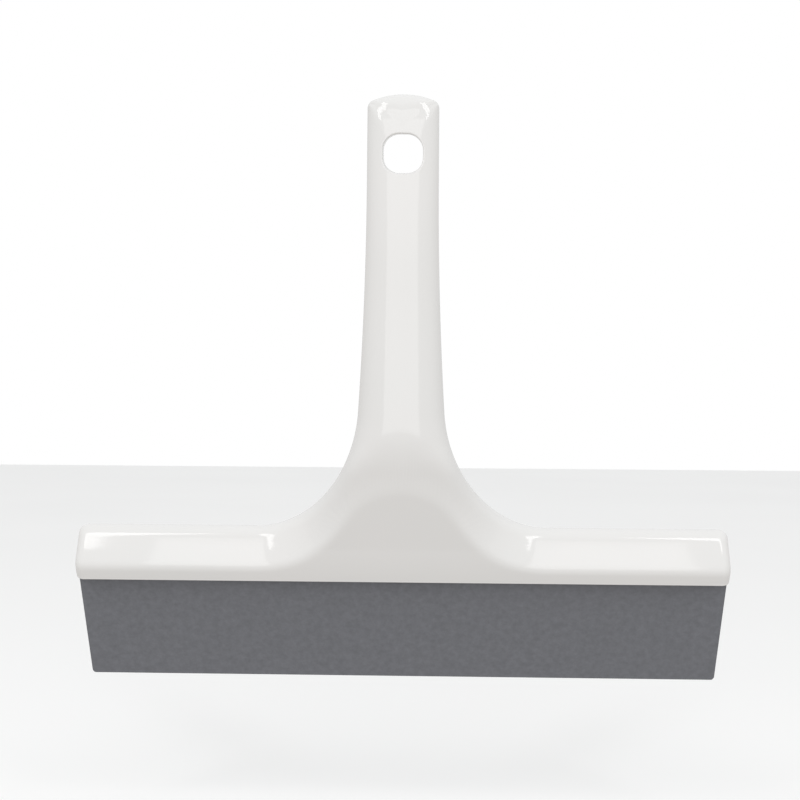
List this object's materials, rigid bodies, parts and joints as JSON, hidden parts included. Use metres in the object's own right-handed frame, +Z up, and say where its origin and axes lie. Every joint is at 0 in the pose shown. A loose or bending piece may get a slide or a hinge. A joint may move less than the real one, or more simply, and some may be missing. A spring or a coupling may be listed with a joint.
{
  "type": "window squeegee",
  "caption": "Hand squeegee for windows: glossy white shell body with a wide head and a flared handle with a hang hole, and a matte grey rubber blade held by a bead inside the head",
  "frame": {"origin": "the centre of the hang hole at the top of the handle", "axes": "+Z up the handle, the front (the side with the bell-shaped facet) faces -Y, and +X runs along the head to the right"},
  "size_m": [0.25, 0.0469, 0.2256],
  "materials": {
    "white_plastic": "glossy injection-moulded plastic, slightly warm white",
    "grey_rubber": "matte mid-grey moulded rubber",
    "rail_aluminium": "plain extruded aluminium",
    "inner_plastic": "matte light grey plastic",
    "screw_steel": "zinc-plated steel"
  },
  "bodies": {
    "handle": {"front_shell": "white_plastic", "rear_shell": "white_plastic", "blade_rail": "rail_aluminium", "left_end_stop": "inner_plastic", "right_end_stop": "inner_plastic", "rail_screws": "screw_steel", "shell_screws": "screw_steel", "screw_caps": "white_plastic"},
    "blade": {"blade": "grey_rubber"}
  },
  "joints": [
    {"name": "blade_flex", "type": "hinge", "parent": "handle", "child": "blade", "pos_m": [0, 0.01195, -0.15367], "axis": [1, 0, 0], "range_deg": [-18, 18], "stiffness_Nm_per_rad": 1.5}
  ]
}
